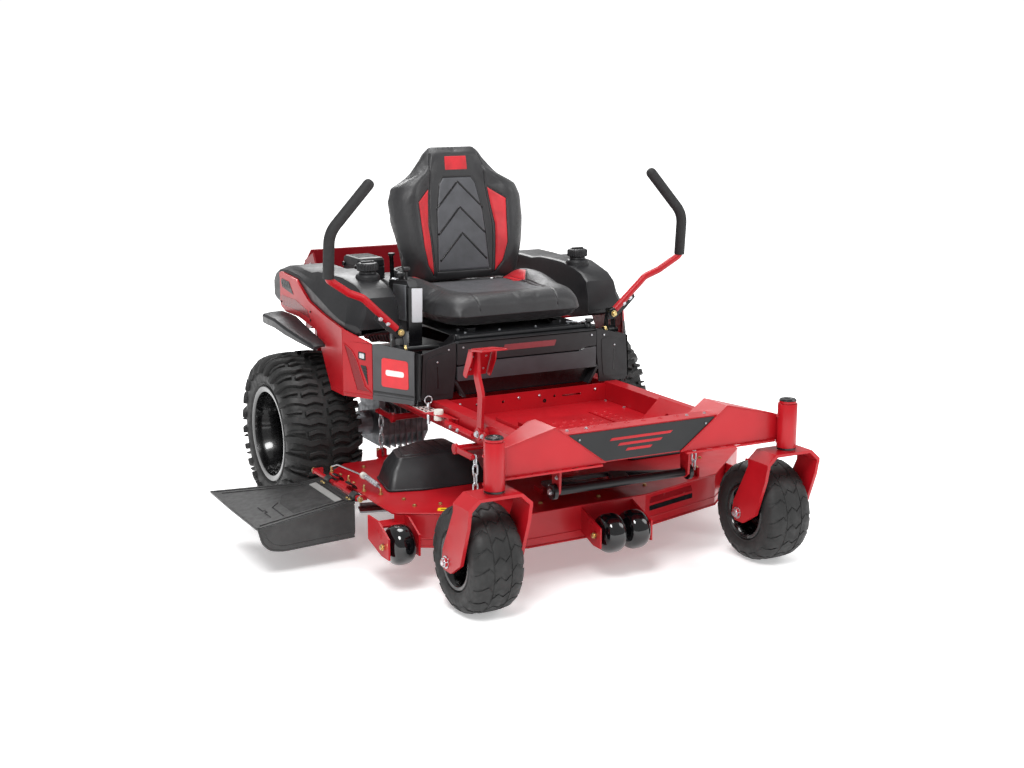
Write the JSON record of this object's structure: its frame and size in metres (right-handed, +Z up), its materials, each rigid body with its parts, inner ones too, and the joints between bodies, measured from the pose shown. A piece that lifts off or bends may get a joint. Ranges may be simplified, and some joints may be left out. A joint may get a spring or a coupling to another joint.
{
  "type": "zero turn mower",
  "caption": "Ride-on zero turn mower with twin drive levers, swivelling front casters, lifting side-discharge deck and rear engine.",
  "frame": {"origin": "centre of the whole machine's bounding rectangle, on the ground", "axes": "-Y is the driving direction (front casters), +X the operator's left, +Z up"},
  "size_m": [1.768, 1.929, 1.2842],
  "materials": {
    "red_paint": "gloss",
    "black_plate": "satin",
    "black_plastic": "satin",
    "engine_metal": "satin",
    "shroud_plastic": "gloss",
    "tyre_rubber": "matt",
    "wheel_black": "gloss",
    "vinyl": "satin",
    "deflector_rubber": "matt",
    "roller_plastic": "gloss",
    "bare_steel": "satin"
  },
  "bodies": {
    "chassis": {"front_axle_frame": "red_paint", "nose_plate": "black_plate", "right_frame_rail": "red_paint", "left_frame_rail": "red_paint", "rear_frame": "red_paint", "foot_pan": "red_paint", "console_front": "black_plastic", "seat_support": "black_plate", "right_side_panel": "red_paint", "left_side_panel": "red_paint", "right_front_cowl": "black_plastic", "left_front_cowl": "black_plastic", "right_fuel_tank": "black_plastic", "left_fuel_tank": "black_plastic", "fender_skirts": "black_plastic", "control_console": "black_plastic", "engine_block": "engine_metal", "engine_shroud": "shroud_plastic", "air_cleaner": "black_plastic", "engine_guard": "red_paint", "transaxles": "engine_metal", "cut_height_plate": "red_paint"},
    "seat_pan": {"seat_plate": "black_plate"},
    "seat": {"seat_cushion": "vinyl", "seat_back": "vinyl"},
    "deck": {"deck_shell": "red_paint", "right_belt_cover": "black_plastic", "left_belt_cover": "black_plastic", "lift_chains": "bare_steel"},
    "deflector": {"discharge_deflector": "deflector_rubber"},
    "centre_roller": {"centre_rollers": "roller_plastic"},
    "pedal": {"lift_pedal": "red_paint"},
    "front_shaft": {"front_lift_shaft": "red_paint"},
    "rear_shaft": {"rear_lift_shaft": "red_paint"},
    "deck_link": {"front_deck_link": "black_plate"},
    "engine_drive": {"engine_pulley": "engine_metal"},
    "pto": {"pto_switch": "black_plastic"},
    "throttle": {"throttle_lever": "black_plastic"},
    "key": {"ignition_key": "black_plastic"},
    "centre_blade": {"centre_blade_spindle": "bare_steel"},
    "right_fork": {"right_caster_fork": "red_paint"},
    "right_caster_wheel": {"right_caster_tyre": "tyre_rubber", "right_caster_rim": "wheel_black"},
    "right_drive_wheel": {"right_drive_tyre": "tyre_rubber", "right_drive_rim": "wheel_black"},
    "right_arm": {"right_control_arm": "black_plate"},
    "right_lever": {"right_drive_lever": "red_paint"},
    "right_roller": {"right_roller": "roller_plastic"},
    "right_blade": {"right_blade_spindle": "bare_steel"},
    "right_cap": {"right_fuel_cap": "black_plastic"},
    "left_fork": {"left_caster_fork": "red_paint"},
    "left_caster_wheel": {"left_caster_tyre": "tyre_rubber", "left_caster_rim": "wheel_black"},
    "left_drive_wheel": {"left_drive_tyre": "tyre_rubber", "left_drive_rim": "wheel_black"},
    "left_arm": {"left_control_arm": "black_plate"},
    "left_lever": {"left_drive_lever": "red_paint"},
    "left_roller": {"left_roller": "roller_plastic"},
    "left_blade": {"left_blade_spindle": "bare_steel"},
    "left_cap": {"left_fuel_cap": "black_plastic"}
  },
  "joints": [
    {"name": "seat_tilt", "type": "hinge", "parent": "chassis", "child": "seat_pan", "pos_m": [0.122, -0.1215, 0.684], "axis": [1, 0, 0], "range_deg": [0, 55]},
    {"name": "seat_slide", "type": "slide", "parent": "seat_pan", "child": "seat", "axis": [0, 1, 0], "range_m": [-0.06, 0.01]},
    {"name": "deck_lift", "type": "slide", "parent": "chassis", "child": "deck", "axis": [0, 0, 1], "range_m": [-0.07, 0]},
    {"name": "deflector_hinge", "type": "hinge", "parent": "deck", "child": "deflector", "pos_m": [-0.546, 0.1145, 0.222], "axis": [0, 1, 0], "range_deg": [0, 60]},
    {"name": "centre_roller_spin", "type": "hinge", "parent": "deck", "child": "centre_roller", "pos_m": [0.122, -0.7655, 0.157], "axis": [1, 0, 0], "continuous": true},
    {"name": "pedal_pivot", "type": "hinge", "parent": "chassis", "child": "pedal", "pos_m": [-0.248, -0.5405, 0.462], "axis": [1, 0, 0], "range_deg": [-36, 1]},
    {"name": "front_shaft_turn", "type": "hinge", "parent": "chassis", "child": "front_shaft", "pos_m": [0.122, -0.4455, 0.398], "axis": [1, 0, 0], "range_deg": [-1, 36]},
    {"name": "rear_shaft_turn", "type": "hinge", "parent": "chassis", "child": "rear_shaft", "pos_m": [0.122, 0.0395, 0.398], "axis": [1, 0, 0], "range_deg": [-36, 1]},
    {"name": "deck_link_swing", "type": "hinge", "parent": "chassis", "child": "deck_link", "pos_m": [0.122, -0.7635, 0.316], "axis": [1, 0, 0], "range_deg": [-16, 1]},
    {"name": "engine_spin", "type": "hinge", "parent": "chassis", "child": "engine_drive", "pos_m": [0.122, 0.6145, 0.42], "axis": [0, 0, 1], "continuous": true},
    {"name": "pto_pull", "type": "slide", "parent": "chassis", "child": "pto", "axis": [0, 0, 1], "range_m": [0, 0.008]},
    {"name": "throttle_move", "type": "hinge", "parent": "chassis", "child": "throttle", "pos_m": [-0.214, 0.0895, 0.85], "axis": [1, 0, 0], "range_deg": [-30, 30]},
    {"name": "key_turn", "type": "hinge", "parent": "chassis", "child": "key", "pos_m": [-0.213, 0.1765, 0.851], "axis": [0, 0, 1], "range_deg": [0, 70]},
    {"name": "centre_blade_spin", "type": "hinge", "parent": "deck", "child": "centre_blade", "pos_m": [0.177, -0.2955, 0.143], "axis": [0, 0, 1], "continuous": true},
    {"name": "right_caster_swivel", "type": "hinge", "parent": "chassis", "child": "right_fork", "pos_m": [-0.398, -0.9055, 0.4], "axis": [0, 0, 1], "continuous": true},
    {"name": "right_caster_spin", "type": "hinge", "parent": "right_fork", "child": "right_caster_wheel", "pos_m": [-0.398, -0.7995, 0.165], "axis": [1, 0, 0], "continuous": true},
    {"name": "right_drive_spin", "type": "hinge", "parent": "chassis", "child": "right_drive_wheel", "pos_m": [-0.471, 0.4555, 0.286], "axis": [1, 0, 0], "continuous": true},
    {"name": "right_control_swing", "type": "hinge", "parent": "chassis", "child": "right_arm", "pos_m": [-0.294, -0.0135, 0.64], "axis": [1, 0, 0], "range_deg": [-10, 20]},
    {"name": "right_lever_park", "type": "hinge", "parent": "right_arm", "child": "right_lever", "pos_m": [-0.294, -0.0135, 0.704], "axis": [0, 1, 0], "range_deg": [0, 22]},
    {"name": "right_roller_spin", "type": "hinge", "parent": "deck", "child": "right_roller", "pos_m": [-0.543, -0.5655, 0.157], "axis": [1, 0, 0], "continuous": true},
    {"name": "right_blade_spin", "type": "hinge", "parent": "deck", "child": "right_blade", "pos_m": [-0.273, -0.1855, 0.143], "axis": [0, 0, 1], "continuous": true},
    {"name": "right_cap_turn", "type": "hinge", "parent": "chassis", "child": "right_cap", "pos_m": [-0.298, 0.2245, 0.89], "axis": [0, 0, 1], "range_deg": [0, 120]},
    {"name": "left_caster_swivel", "type": "hinge", "parent": "chassis", "child": "left_fork", "pos_m": [0.642, -0.9055, 0.4], "axis": [0, 0, 1], "continuous": true},
    {"name": "left_caster_spin", "type": "hinge", "parent": "left_fork", "child": "left_caster_wheel", "pos_m": [0.642, -0.7995, 0.165], "axis": [1, 0, 0], "continuous": true},
    {"name": "left_drive_spin", "type": "hinge", "parent": "chassis", "child": "left_drive_wheel", "pos_m": [0.715, 0.4555, 0.286], "axis": [1, 0, 0], "continuous": true},
    {"name": "left_control_swing", "type": "hinge", "parent": "chassis", "child": "left_arm", "pos_m": [0.538, -0.0135, 0.64], "axis": [1, 0, 0], "range_deg": [-10, 20]},
    {"name": "left_lever_park", "type": "hinge", "parent": "left_arm", "child": "left_lever", "pos_m": [0.538, -0.0135, 0.704], "axis": [0, -1, 0], "range_deg": [0, 22]},
    {"name": "left_roller_spin", "type": "hinge", "parent": "deck", "child": "left_roller", "pos_m": [0.787, -0.5655, 0.157], "axis": [1, 0, 0], "continuous": true},
    {"name": "left_blade_spin", "type": "hinge", "parent": "deck", "child": "left_blade", "pos_m": [0.627, -0.1855, 0.143], "axis": [0, 0, 1], "continuous": true},
    {"name": "left_cap_turn", "type": "hinge", "parent": "chassis", "child": "left_cap", "pos_m": [0.542, 0.2245, 0.89], "axis": [0, 0, 1], "range_deg": [0, 120]}
  ],
  "couplings": [
    {"joint": "pedal_pivot", "follows": "deck_lift", "rad_per_m": 8.6},
    {"joint": "front_shaft_turn", "follows": "deck_lift", "rad_per_m": -8.6},
    {"joint": "rear_shaft_turn", "follows": "deck_lift", "rad_per_m": 8.6},
    {"joint": "deck_link_swing", "follows": "deck_lift", "rad_per_m": 3.6},
    {"joint": "right_blade_spin", "follows": "centre_blade_spin", "ratio": 1},
    {"joint": "left_blade_spin", "follows": "centre_blade_spin", "ratio": 1},
    {"joint": "engine_spin", "follows": "centre_blade_spin", "ratio": 1.1}
  ]
}
